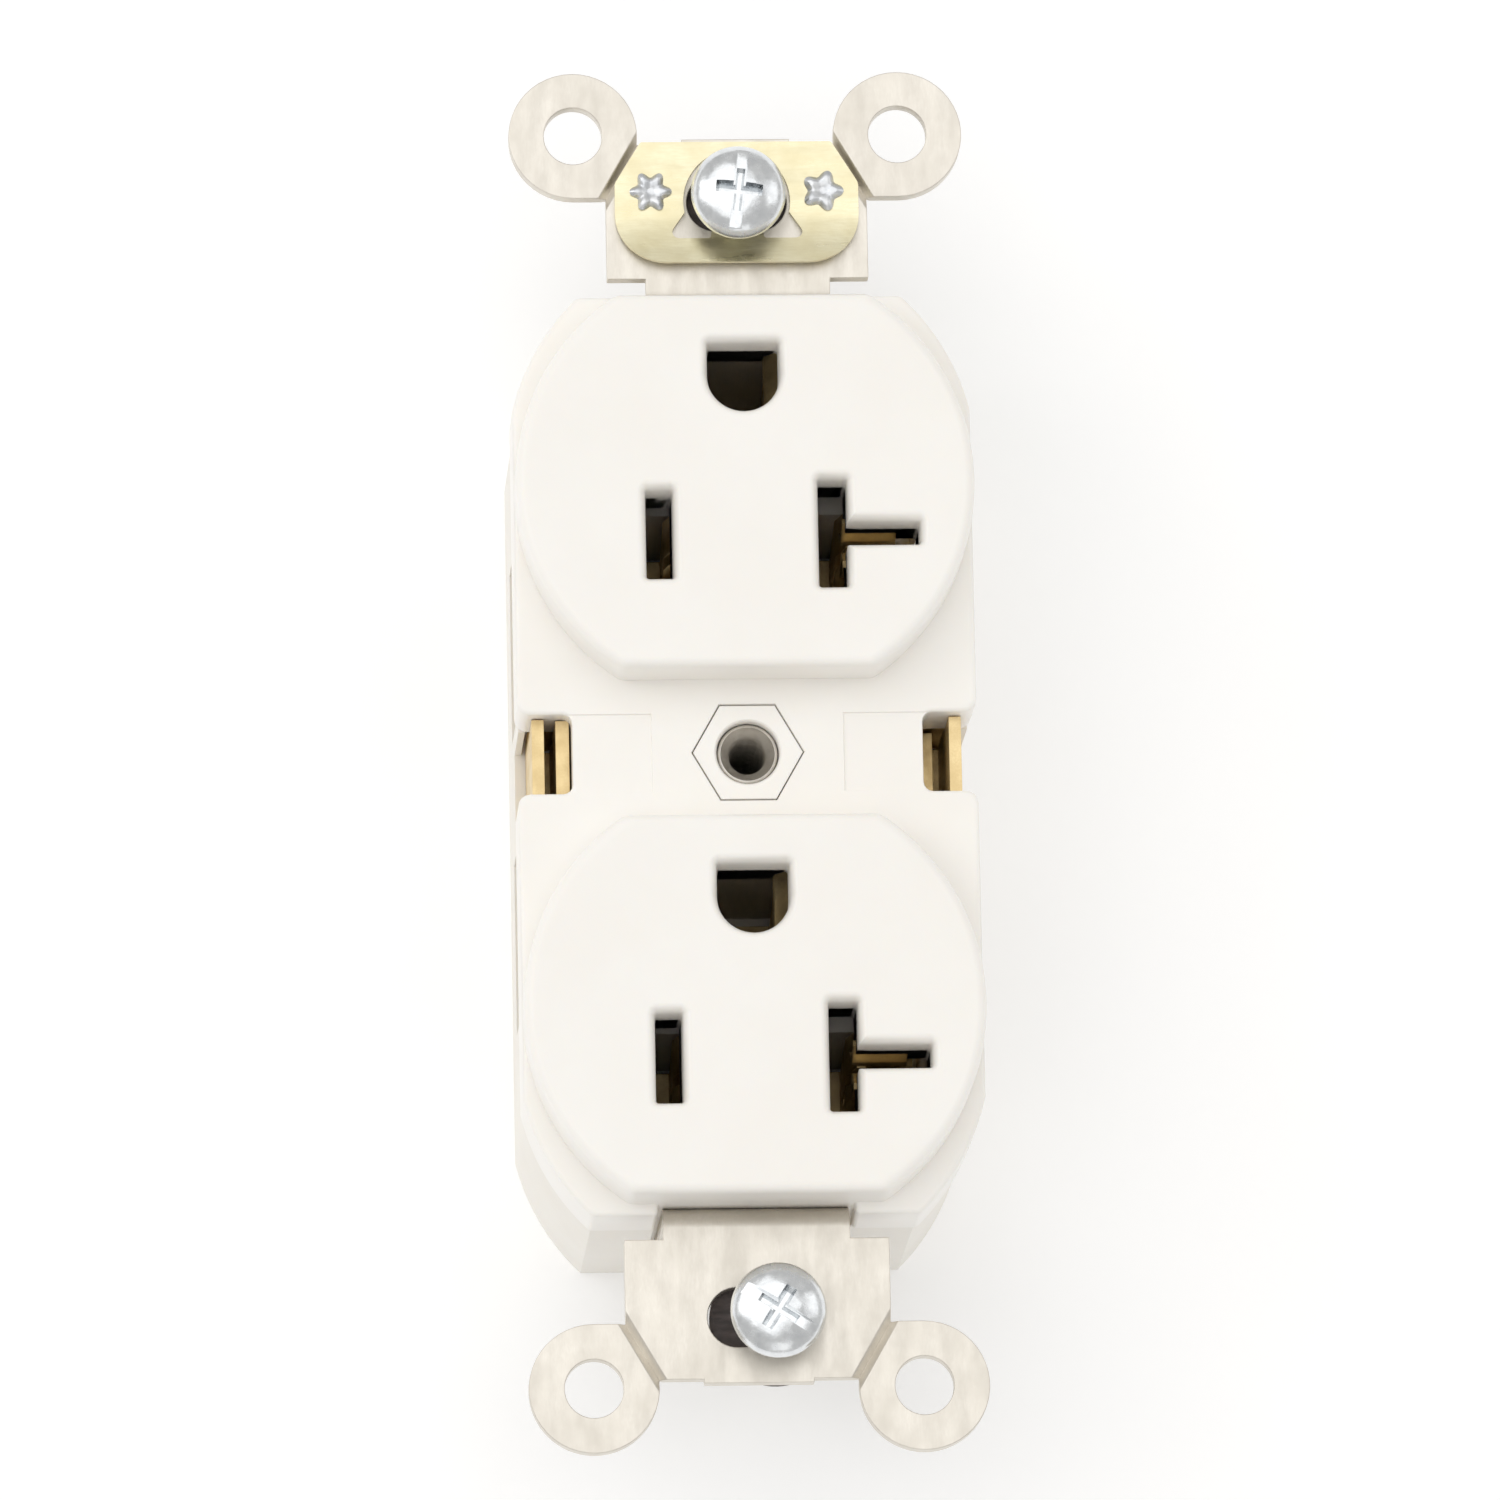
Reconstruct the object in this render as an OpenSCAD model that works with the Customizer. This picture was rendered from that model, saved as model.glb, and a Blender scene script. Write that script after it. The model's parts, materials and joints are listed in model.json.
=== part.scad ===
// Duplex wall outlet, 20 A kind: a moulded cover with two faces, a body full of contacts,
// and a steel strap that wraps round the back.
// +Z points out of the wall, +Y is up as installed (ground openings uppermost), +X is right.
// The origin is on the wall plate screw's axis, in the plane of the wall. Millimetres.

/* [Strap] */
// Thickness of the strap's steel
strap_t = 1.3; // [1.1:0.1:1.5]
// Width of the two mounting plates
plate_w = 19.3; // [18.5:0.1:20]
// Distance from the middle to a plate's inner edge
plate_in = 35.9; // [35.7:0.1:36.2]
// Distance from the middle to a plate's outer edge
plate_out = 46.2; // [45.5:0.1:46.6]
// Width of the strap where it leaves a plate and along the back
neck_w = 13.6; // [12:0.1:14]
// Distance between the two mounting slots
slot_span = 83.34; // [83:0.01:83.6]
// Length of a mounting slot, end to end
slot_len = 7.4; // [7:0.1:8]
// Width of a mounting slot
slot_w = 4.4; // [4.2:0.1:4.6]
// Diameter of a washer ear
ear_d = 9.5; // [9:0.1:10]
// Diameter of the hole in a washer ear
ear_hole_d = 4.3; // [4:0.1:4.6]
// Distance from the middle to an ear's centre, across
ear_x = 12; // [11.8:0.1:12.4]
// Distance from the middle to an ear's centre, along
ear_y = 46.8; // [46.4:0.1:47]

/* [Cover and body] */
// Width of the cover and the body
body_w = 33.7; // [33:0.1:34]
// Length of the cover
body_len = 68.6; // [68:0.1:69]
// Height of the shoulder above the wall plane
shoulder_z = 2.3; // [2:0.1:2.6]
// Height of the faces above the wall plane
face_z = 7; // [6.6:0.1:7.4]
// Depth of the back behind the wall plane
back_z = 24; // [24:0.5:27]
// Depth of the joint between cover and body
joint_z = 4; // [3.5:0.1:4.5]
// Distance between the two faces' centres
face_pitch = 38.9; // [38.7:0.1:39.1]
// Diameter of a face, before its ends are cut flat
face_d = 33.6; // [33:0.1:34]
// Height of a face between its flat ends
face_h = 28; // [27.5:0.1:28.5]
// Depth of a side notch
notch_deep = 4; // [3.6:0.1:4.2]
// Height of a side notch
notch_h = 5.9; // [5.5:0.1:6.2]

/* [Openings] */
// Distance from the middle to a blade slot's centre line
blade_x = 6.35; // [6.3:0.01:6.4]
// Distance from a face's centre down to the blades' centre line
blade_drop = 3.96; // [3.9:0.01:4]
// Distance from a face's centre up to the ground pin's centre
ground_rise = 7.94; // [7.9:0.01:8]
// Width of the straight blade slot
hot_slot_w = 2; // [1.8:0.05:2.2]
// Height of the straight blade slot
hot_slot_h = 6.6; // [6.5:0.1:7]
// Width of the upright of the T slot
tee_slot_w = 2.15; // [2:0.05:2.3]
// Height of the upright of the T slot
tee_slot_h = 8.05; // [7.9:0.05:8.3]
// Height of the stem of the T slot
tee_stem_h = 1.75; // [1.6:0.05:2]
// Distance from the middle to the far end of the T slot's stem
tee_stem_x = 12.75; // [12.5:0.05:12.9]
// Width of the ground opening
ground_w = 5.3; // [5.1:0.1:5.5]

/* [Screws] */
// Thread diameter of the mounting screws
box_screw_d = 3.5; // [3.4:0.05:3.6]
// Length of a mounting screw below its head
box_screw_len = 22; // [18:1:25]
// Height at which a mounting screw's head rests
box_head_z = 4; // [3:0.1:5]
// Thread diameter of the terminal screws
term_d = 4.16; // [4:0.02:4.3]
// Travel of a pressure plate
clamp_travel = 2.38; // [2:0.01:2.4]
// Distance from the middle to a terminal screw, along
term_y = 9.3; // [9:0.1:9.5]
// Diameter of a wire hole
wire_hole_d = 2.9; // [2.7:0.1:3]
// Diameter of the thread for the wall plate's screw
post_bore_d = 2.84; // [2.8:0.02:2.9]

/* [Hidden] */
$fn = 64;

eps = 0.02;           // overshoot of a cut past a face
fit = 0.05;           // radial clearance round a screw or post
gap = 0.2;            // clearance between loose flat parts

slot_y = slot_span / 2;
face_y = face_pitch / 2;
units = [face_y, -face_y];                  // the two faces' centres
blade_ys = [for (u = units) u - blade_drop];
ground_ys = [for (u = units) u + ground_rise];

// strap path round the body
bend_out = 1.6;                             // outer radius of the front bends
bend_in = bend_out - strap_t;
leg_in = 33.45;                             // inner face of a leg
leg_out = leg_in + strap_t;
band_in = back_z - strap_t;                 // depth of the back band's inner face
score_w = 0.5;                              // half width of the break-off grooves
score_deep = 0.5;                           // depth of the groove in the front
score_deep_back = 0.25;                     // depth of the groove in the back
lug_out = 11;                               // outer face of the ground lug

// self-grounding clip
clip_t = 0.4;
clip_w = 18;
clip_low = 36.95;
clip_fold = 40.6;                           // where the clip's lower part starts to rise
clip_lift = 0.9;
clip_corner = 3.8;
clip_gap_r = 3.95;                          // radius of the opening round the screw
clip_gap_y = 38.8;                          // lower edge of that opening
clip_gap_w = 10.5;
tongue_w = 3.9;
stake_x = 6.35;
stake_y = 42.4;
stake_r = 1;
stake_head_r = 1.55;

// cover and body
wall = 1.6;
corner_r = 17.3;                            // radius of the shoulder's rounded corners
corner_y = 21.8;                            // centre of that radius
cover_roof = 2.2;                           // thickness of the faces and the shoulder
leg_slot_w = 14.4;
leg_slot_y = leg_in - 0.05;
sleeve_af = 7;                              // across flats of the hexagonal sleeve
sleeve_hole_d = 4.6;
post_d = 4.5;
post_top = 1.6;
post_bore_deep = 16;
floor_z = 19;                               // depth of the body's inner floor
body_inset = 0.3;
panel_deep = 0.15;

// bus and contacts
bus_t = 0.9;
bus_x = 11.6;                               // inner face of the bus
bus_low = 16.8;
bus_mid = 12.2;                             // top edge of the bus beside the blades
tab_x = 14.85;                              // inner face of the break-off tab
tab_top = 0.8;
leaf_t = 0.7;
contact_w = 6.4;
contact_low = 17.6;
rivet_r = 1.1;
rivet_head_r = 1.5;
rivet_z = 14.3;

// terminals
term_z = 9.3;
clamp_x = bus_x + bus_t + gap;              // inner face of a pressure plate at rest
clamp_t = 1.2;
clamp_w = 8.8;
clamp_h = 7.8;
term_head_x = clamp_x + clamp_t;
term_head_d = 7.4;
term_head_t = 1.9;
term_len = 5.7;
lug_term_y = 28.3;
lug_term_z = 10;
lug_term_len = 4.2;

screw_corners = [[-11, 29.3], [-11, -29.3], [11, -29.3]];
case_screw_r = 1.45;
case_head_r = 2.6;
case_screw_top = 0.2;
retainer_t = 0.8;
retainer_d = 9.6;
box_head_d = 7;
box_head_h = 2;
box_neck_r = 1.45;                          // plain neck where the retainer sits
box_neck_low = -1.2;
lower_shift = 1.3;                          // where the lower screw rests in its slot

// ---------- shared shapes ----------

// Outline of the shoulder, drawn in by d all round.
module shoulder_outline(d = 0) {
    intersection() {
        square([body_w - 2 * d, body_len - 2 * d], center = true);
        union() {
            square([body_w - 2 * d, 2 * corner_y], center = true);
            for (s = [-1, 1]) translate([0, s * corner_y]) circle(r = corner_r - d);
        }
    }
}

// Outline of a face, drawn in by d all round.
module face_outline(d = 0) {
    intersection() {
        circle(d = face_d - 2 * d);
        square([face_d, face_h - 2 * d], center = true);
    }
}

// A slab from depth low to height high.
module slab(low, high) {
    translate([0, 0, low]) linear_extrude(high - low) children();
}

// A box from corner a to corner b.
module block(a, b) {
    translate(a) cube(b - a);
}

// The unit vector along v.
function unit(v) = v / norm(v);

// The point beside point i of a path, h to its left, on the mitre of its corner.
function beside(path, i, h) =
    let(last = len(path) - 1,
        a = max(i, 1),
        b = min(i, last - 1),
        before = unit(path[a] - path[a - 1]),
        after = unit(path[b + 1] - path[b]),
        along = unit(before + after))
    path[i] + [-along.y, along.x] * h / (along * before);

// A strip of thickness t along a path of points, with mitred corners.
module strip(path, t) {
    last = len(path) - 1;
    polygon(concat(
        [for (i = [0 : last]) beside(path, i, t / 2)],
        [for (i = [last : -1 : 0]) beside(path, i, -t / 2)]));
}

// Extrudes a profile drawn in X and Z along Y, from y - w / 2 to y + w / 2.
module along_y(y, w) {
    translate([0, y + w / 2, 0]) rotate([90, 0, 0]) linear_extrude(w) children();
}

// Extrudes a profile drawn in Y and Z along X, from x - w / 2 to x + w / 2.
module along_x(x, w) {
    translate([x - w / 2, 0, 0]) rotate([90, 0, 90]) linear_extrude(w) children();
}

// A shaft along X from x0 to x1.
module x_shaft(x0, x1, r) {
    translate([x0, 0, 0]) rotate([0, 90, 0]) cylinder(h = x1 - x0, r = r);
}

// A shape on the neutral side (side = 1) or mirrored to the hot side (side = -1).
module on_side(side) {
    if (side > 0) children();
    else mirror([1, 0, 0]) children();
}

// A round-ended slot of length len and width w, along X.
module obround(len, w) {
    square([len - w, w], center = true);
    for (s = [-1, 1]) translate([s * (len - w) / 2, 0]) circle(d = w);
}

// ---------- strap ----------

// One mounting plate with its two ears, in plan, for the upper end.
module plate_outline() {
    translate([-plate_w / 2, plate_in]) square([plate_w, plate_out - plate_in]);
    translate([-4, plate_out - eps]) square([8, 0.3 + eps]);
    for (s = [-1, 1]) translate([s * ear_x, ear_y]) {
        circle(d = ear_d);
        translate([s > 0 ? -ear_d / 2 : 0, -ear_d / 2]) square([ear_d / 2, ear_d / 2]);
    }
}

// The two break-off grooves between a plate and an ear, in the front and in the back.
module score_grooves() {
    inner = [ear_x - ear_d / 2, plate_out];
    outer = [plate_w / 2, ear_y - ear_d / 2];
    run = outer - inner;
    translate([inner.x, inner.y, 0]) rotate([0, 0, atan2(run.y, run.x)])
        translate([-1, 0, 0]) rotate([90, 0, 90]) linear_extrude(norm(run) + 2) {
            polygon([[-score_w, strap_t + eps], [score_w, strap_t + eps], [0, strap_t - score_deep]]);
            polygon([[-score_w / 2, -eps], [score_w / 2, -eps], [0, score_deep_back]]);
        }
}

// Half of the strap's path in side view, for the upper end: neck, bend, leg, bend.
module strap_path() {
    top_c = [leg_in + bend_out, strap_t - bend_out];
    low_c = [leg_out - bend_out, bend_out - back_z];
    translate([top_c.x, 0]) square([plate_in + eps - top_c.x, strap_t]);
    intersection() {
        translate(top_c) difference() { circle(r = bend_out); circle(r = bend_in); }
        translate([leg_in, top_c.y]) square([bend_out, bend_out]);
    }
    translate([leg_in, low_c.y]) square([strap_t, top_c.y - low_c.y]);
    intersection() {
        translate(low_c) difference() { circle(r = bend_out); circle(r = bend_in); }
        translate([low_c.x, -back_z]) square([bend_out, bend_out]);
    }
    translate([-eps, -back_z]) square([low_c.x + eps, strap_t]);
}

// The lug beside the upper leg that carries the ground terminal, bent round the body's corner.
module ground_lug() {
    bend = [lug_out - bend_out, leg_out - bend_out];
    slab(-15, -5) {
        translate([neck_w / 2 - eps, leg_in]) square([bend.x - neck_w / 2 + eps, strap_t]);
        intersection() {
            translate(bend) difference() { circle(r = bend_out); circle(r = bend_in); }
            translate(bend) square([bend_out, bend_out]);
        }
        translate([lug_out - strap_t, leg_in - 10]) square([strap_t, bend.y - leg_in + 10]);
    }
}

module mounting_strap() {
    color("lightgray") difference() {
        union() {
            for (e = [0, 1]) mirror([0, e, 0]) {
                slab(0, strap_t) plate_outline();
                along_x(0, neck_w) strap_path();
            }
            ground_lug();
        }
        for (e = [-1, 1]) {
            translate([0, e * slot_y, 0]) slab(-eps, strap_t + eps) obround(slot_len, slot_w);
            for (s = [-1, 1]) translate([s * ear_x, e * ear_y, -eps])
                cylinder(h = strap_t + 2 * eps, d = ear_hole_d);
        }
        for (e = [0, 1]) for (s = [0, 1]) mirror([0, e, 0]) mirror([s, 0, 0]) score_grooves();
        translate([0, 0, -back_z - eps]) cylinder(h = strap_t + 2 * eps, d = post_d + 2 * fit);
        for (y = ground_ys) translate([0, y, -back_z - eps])
            cylinder(h = strap_t + 2 * eps, r = rivet_r + fit);
        translate([0, lug_term_y, -lug_term_z]) x_shaft(lug_out - strap_t - 1, lug_out + 1, term_d / 2 + fit);
        for (s = [-1, 1]) translate([s * stake_x, stake_y, -eps]) cylinder(h = strap_t + 2 * eps, r = stake_r);
    }
}

// ---------- self-grounding clip ----------

// The clip in plan, without its openings.
module clip_outline() {
    difference() {
        union() {
            translate([-clip_w / 2, clip_low + clip_corner]) square([clip_w, plate_out - clip_low - clip_corner]);
            translate([-clip_w / 2 + clip_corner, clip_low]) square([clip_w - 2 * clip_corner, clip_corner + eps]);
            for (s = [-1, 1]) translate([s * (clip_w / 2 - clip_corner), clip_low + clip_corner])
                circle(r = clip_corner);
        }
        for (s = [-1, 1]) scale([s, 1]) polygon([
            [ear_x - ear_d / 2 - 0.2, plate_out + 1], [ear_x - ear_d / 2 - 0.2, plate_out],
            [plate_w / 2 - 0.4, ear_y - ear_d / 2], [plate_w / 2 + 1, ear_y - ear_d / 2],
            [plate_w / 2 + 1, plate_out + 1]]);
    }
}

// The opening round the mounting screw, with the tongue left standing.
module clip_opening() {
    difference() {
        union() {
            translate([0, slot_y]) circle(r = clip_gap_r);
            polygon([[-clip_gap_w / 2, clip_gap_y], [clip_gap_w / 2, clip_gap_y],
                [clip_gap_r - 0.25, slot_y - 0.6], [-clip_gap_r + 0.25, slot_y - 0.6]]);
        }
        translate([-tongue_w / 2, clip_low]) square([tongue_w, slot_y - clip_low - box_screw_d / 2 - 0.3]);
    }
}

// The clip's side view: flat on the plate, then rising towards the body.
module clip_profile() {
    z0 = strap_t;
    polygon([[plate_out, z0], [plate_out, z0 + clip_t], [clip_fold, z0 + clip_t],
        [clip_low - 0.1, z0 + clip_t + clip_lift], [clip_low - 0.1, z0 + clip_lift], [clip_fold, z0]]);
}

module self_ground_clip() {
    color("khaki") difference() {
        intersection() {
            slab(strap_t - 1, strap_t + 3) difference() {
                clip_outline();
                clip_opening();
            }
            along_x(0, clip_w + 2) clip_profile();
        }
        for (s = [-1, 1]) translate([s * stake_x, stake_y, strap_t - eps])
            cylinder(h = clip_t + 2 * eps, r = stake_r);
    }
}

module clip_stakes() {
    head_z = strap_t + clip_t;
    color("lightgray") for (s = [-1, 1]) translate([s * stake_x, stake_y, 0]) {
        cylinder(h = head_z, r = stake_r);
        translate([0, 0, head_z]) cylinder(h = 0.45, r1 = stake_head_r, r2 = stake_head_r - 0.35);
    }
}

// ---------- cover ----------

module ground_opening(d = 0) {
    r = ground_w / 2 + d;
    translate([0, ground_rise]) {
        circle(r = r);
        translate([-r, 0]) square([2 * r, ground_w / 2 - 0.2 + d]);
    }
}

module hot_opening(d = 0) {
    translate([-blade_x, -blade_drop]) square([hot_slot_w + 2 * d, hot_slot_h + 2 * d], center = true);
}

module tee_opening(d = 0) {
    translate([blade_x, -blade_drop]) {
        square([tee_slot_w + 2 * d, tee_slot_h + 2 * d], center = true);
        translate([0, -tee_stem_h / 2 - d]) square([tee_stem_x - blade_x + d, tee_stem_h + 2 * d]);
    }
}

module face_openings(d = 0) {
    ground_opening(d);
    hot_opening(d);
    tee_opening(d);
}

module cover_outline() {
    difference() {
        shoulder_outline();
        for (s = [-1, 1]) {
            translate([s * body_w / 2, 0]) square([2 * notch_deep, notch_h], center = true);
            translate([0, s * (leg_slot_y + 5)]) square([leg_slot_w, 10], center = true);
        }
    }
}

// The hollow under the cover, with walls round the notches, the post and the corner screws.
module cover_hollow() {
    difference() {
        shoulder_outline(wall);
        for (s = [-1, 1]) {
            translate([s * body_w / 2, 0]) square([2 * (notch_deep + 1.2), notch_h + 2.4], center = true);
            translate([0, s * (leg_slot_y + 5)]) square([leg_slot_w + 2, 12.4], center = true);
        }
        circle(d = sleeve_af + 4);
        for (c = screw_corners) translate(c) circle(r = 3.2);
    }
}

module front_cover() {
    color("snow") difference() {
        union() {
            slab(-joint_z, shoulder_z) cover_outline();
            for (y = units) translate([0, y, 0]) {
                slab(shoulder_z - eps, face_z - 0.6) face_outline();
                slab(shoulder_z, face_z - 0.3) face_outline(0.18);
                slab(shoulder_z, face_z) face_outline(0.6);
            }
        }
        difference() {
            union() {
                slab(-joint_z - eps, shoulder_z - cover_roof + 0.2) cover_hollow();
                for (y = units) translate([0, y, 0])
                    slab(-joint_z, face_z - cover_roof) intersection() {
                        face_outline(1.8);
                        translate([0, -y]) cover_hollow();
                    }
            }
            for (y = units) translate([0, y, 0]) slab(1, face_z) face_openings(1);
        }
        for (y = units) translate([0, y, 0]) {
            slab(-joint_z, face_z + eps) face_openings();
            slab(face_z - 0.6, face_z + eps) face_openings(0.3);
        }
        translate([0, 0, -joint_z - eps]) cylinder(h = 10, d = (sleeve_af + 0.12) / cos(30), $fn = 6);
        for (c = screw_corners) translate([c.x, c.y, -joint_z - eps])
            cylinder(h = joint_z + case_screw_top + 0.3, r = case_screw_r + 0.02);
        for (s = [-1, 1]) translate([s * 11.6, 0, shoulder_z - panel_deep])
            slab(0, 1) square([9.2, notch_h], center = true);
    }
}

// ---------- body ----------

// Room for one blade contact and its rivet, on the neutral side, at y.
module contact_pocket(y) {
    half = contact_w / 2 + 0.5;
    block([3.9, y - half, -floor_z], [bus_x + eps, y + half, -joint_z + eps]);
}

// Room for one bus, its jog and its tab, on the neutral side.
module bus_pocket() {
    low = blade_ys[1] - 3.4;
    high = blade_ys[0] + 3.4;
    block([bus_x - 0.9, low, -bus_low - 0.1], [bus_x + bus_t + 0.6, high, -joint_z + eps]);
    block([bus_x, -notch_h / 2 - 1.6, -12.2], [tab_x + bus_t + 0.3, notch_h / 2 + 1.6, -joint_z + eps]);
    block([bus_x, -notch_h / 2, -12.2], [body_w, notch_h / 2, -joint_z + eps]);
}

// One terminal recess, open to the side, with its two wire holes, on the neutral side.
module terminal_recess(y) {
    wide = y > 0 ? [4.6, blade_ys[0] + 2] : [-blade_ys[0] - 2, -4.6];
    block([bus_x + bus_t, wide[0], -16.4], [body_w, wide[1], -joint_z + eps]);
    block([7.8, y - 2.6, -term_z - 2.6], [bus_x + eps, y + 2.6, -joint_z + eps]);
    for (s = [-1, 1]) translate([clamp_x + 1.2, y + s * 3.3, -back_z - eps])
        cylinder(h = 8, d = wire_hole_d);
}

// Room for one ground contact, through to the strap, at y.
module ground_pocket(y) {
    block([-4.2, y - 4, -back_z], [4.2, y + 4, -joint_z + eps]);
}

// Corner recess for the ground terminal.
module ground_recess() {
    block([lug_out - strap_t - 0.1, 23.2, -16], [body_w, 40, -joint_z + eps]);
    block([6.6, leg_slot_y, -16], [body_w, 40, -joint_z + eps]);
    block([7.5, lug_term_y - 2.6, -lug_term_z - 2.6], [lug_out, lug_term_y + 2.6, -joint_z + eps]);
    translate([12.4, lug_term_y - 3.4, -back_z - eps]) cylinder(h = 9, d = wire_hole_d);
}

module back_body() {
    color("snow") difference() {
        slab(-back_z, -joint_z) shoulder_outline(body_inset);
        along_x(0, leg_slot_w) union() {
            for (s = [-1, 1]) translate([s > 0 ? leg_slot_y : -leg_slot_y - 5, -back_z - 1])
                square([5, back_z]);
            translate([-40, -back_z - 1]) square([80, strap_t + 1.05]);
            for (s = [-1, 1]) scale([s, 1]) polygon([[leg_slot_y - 1.9, -back_z], [leg_slot_y + 1, -back_z],
                [leg_slot_y + 1, -back_z + 3.2]]);
        }
        for (side = [-1, 1]) on_side(side) {
            bus_pocket();
            for (y = blade_ys) contact_pocket(y);
            for (y = [-term_y, term_y]) terminal_recess(y);
        }
        for (y = ground_ys) ground_pocket(y);
        ground_recess();
        translate([0, 0, -back_z - eps]) cylinder(h = back_z, d = post_d + 2 * fit);
        for (c = screw_corners) translate([c.x, c.y, -back_z - eps]) {
            cylinder(h = back_z, r = case_screw_r + 0.02);
            cylinder(h = 2.2, r = case_head_r + 0.15);
        }
    }
}

module post_sleeve() {
    color("snow") difference() {
        translate([0, 0, -joint_z]) cylinder(h = joint_z + shoulder_z, d = sleeve_af / cos(30), $fn = 6);
        translate([0, 0, -joint_z - eps]) cylinder(h = 10, d = sleeve_hole_d);
    }
}

module centre_post() {
    color("silver") difference() {
        translate([0, 0, -back_z]) cylinder(h = back_z + post_top, d = post_d);
        translate([0, 0, -post_bore_deep]) cylinder(h = post_bore_deep + post_top + eps, d = post_bore_d);
        translate([0, 0, post_top - 0.7]) cylinder(h = 0.7 + eps, d1 = post_bore_d, d2 = post_bore_d + 1.3);
    }
}

module assembly_screws() {
    color("silver") for (c = screw_corners) translate([c.x, c.y, -back_z]) difference() {
        union() {
            cylinder(h = 2, r = case_head_r);
            cylinder(h = back_z + case_screw_top, r = case_screw_r);
        }
        for (a = [0, 90]) rotate(a) translate([-1.6, -0.35, -eps]) cube([3.2, 0.7, 1.2]);
    }
}

// ---------- live parts ----------

// One bus on the neutral side. leaf_top is the height of its inner folded leaf.
module bus(leaf_top) {
    low = blade_ys[1] - 3;
    high = blade_ys[0] + 3;
    jog_y = notch_h / 2 + 1.3;
    mid_x = bus_x + bus_t / 2;
    difference() {
        union() {
            block([bus_x, low, -bus_low], [bus_x + bus_t, -jog_y, -bus_mid]);
            block([bus_x, jog_y, -bus_low], [bus_x + bus_t, high, -bus_mid]);
            for (s = [-1, 1]) block([bus_x, s * term_y - 5, -bus_low], [bus_x + bus_t, s * term_y + 5, -4.3]);
            slab(-12, -4.3) strip([[mid_x, -jog_y - 1], [mid_x, -jog_y], [tab_x + bus_t / 2, -jog_y + 0.85],
                [tab_x + bus_t / 2, jog_y - 0.85], [mid_x, jog_y], [mid_x, jog_y + 1]], bus_t);
            block([tab_x, -notch_h / 2 + 0.1, -12], [tab_x + bus_t, notch_h / 2 - 0.1, tab_top]);
            block([13, -notch_h / 2 + 0.1, -11.9], [tab_x + eps, notch_h / 2 - 0.1, -11]);
            block([13, -notch_h / 2 + 0.1, -11.9], [14, notch_h / 2 - 0.1, leaf_top]);
        }
        for (s = [-1, 1]) translate([0, s * term_y, -term_z]) x_shaft(bus_x - 1, bus_x + 3, term_d / 2 + fit);
        for (y = blade_ys) translate([0, y, -rivet_z]) x_shaft(bus_x - 1, bus_x + 3, rivet_r);
    }
}

module hot_bus() { color("darkgoldenrod") on_side(-1) bus(0.4); }
module neutral_bus() { color("darkgoldenrod") on_side(1) bus(-5); }

// A blade contact on the neutral side at y: foot on the bus, web, two spring leaves.
module blade_contact(y) {
    foot_x = bus_x - leaf_t / 2;
    web_z = -contact_low;
    difference() {
        union() {
            along_y(y, contact_w) {
                strip([[foot_x, -bus_mid - 0.2], [foot_x, web_z], [4.9, web_z], [5.3, -4], [4.7, -0.8]], leaf_t);
                strip([[7.8, web_z], [7.4, -4], [8, -0.8]], leaf_t);
            }
        }
        translate([0, y, -rivet_z]) x_shaft(bus_x - 2, bus_x + 1, rivet_r);
        along_y(y, 0.8) translate([3, -13]) square([5.6, 14]);
    }
}

// The extra pair of leaves for a blade that lies across, at y.
module cross_leaves(y) {
    for (s = [-1, 1]) along_x(10.1, 2.6)
        strip([[y + s * 2.3, -contact_low], [y + s * 2.2, -12], [y + s * 1.05, -4], [y + s * 1.5, -1.2]], leaf_t);
}

module hot_contact(y) { color("goldenrod") on_side(-1) blade_contact(y); }
module neutral_contact(y) {
    color("goldenrod") {
        blade_contact(y);
        cross_leaves(y);
    }
}

// A ground contact at y: a foot on the strap and two leaves for the round pin.
module ground_contact(y) {
    foot_z = -band_in + leaf_t / 2;
    color("goldenrod") difference() {
        along_y(y, 6.6)
            strip([[-3.3, -1], [-2.5, -4], [-3, foot_z], [3, foot_z], [2.5, -4], [3.3, -1]], leaf_t);
        translate([0, y, -back_z]) cylinder(h = 5, r = rivet_r);
        translate([-5, y - 0.4, -14]) cube([10, 0.8, 14]);
    }
}

module contact_rivets() {
    color("goldenrod") for (side = [-1, 1]) on_side(side) for (y = blade_ys) translate([0, y, -rivet_z]) {
        x_shaft(bus_x - leaf_t - 0.6, bus_x - leaf_t, rivet_head_r);
        x_shaft(bus_x - leaf_t - eps, bus_x + bus_t + eps, rivet_r);
        x_shaft(bus_x + bus_t, bus_x + bus_t + 0.4, rivet_head_r);
    }
}

module ground_rivets() {
    color("silver") for (y = ground_ys) translate([0, y, 0]) {
        translate([0, 0, -back_z]) cylinder(h = strap_t + leaf_t, r = rivet_r);
        translate([0, 0, -band_in + leaf_t]) cylinder(h = 0.7, r1 = rivet_head_r + 0.3, r2 = rivet_head_r);
    }
}

// ---------- screws that move ----------

module screw_retainer(shift) {
    color("dimgray") difference() {
        translate([shift, 0, -retainer_t - 0.1]) cylinder(h = retainer_t, d = retainer_d);
        translate([shift, 0, -2]) cylinder(h = 4, r = box_screw_d / 2 + fit);
    }
}

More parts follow.
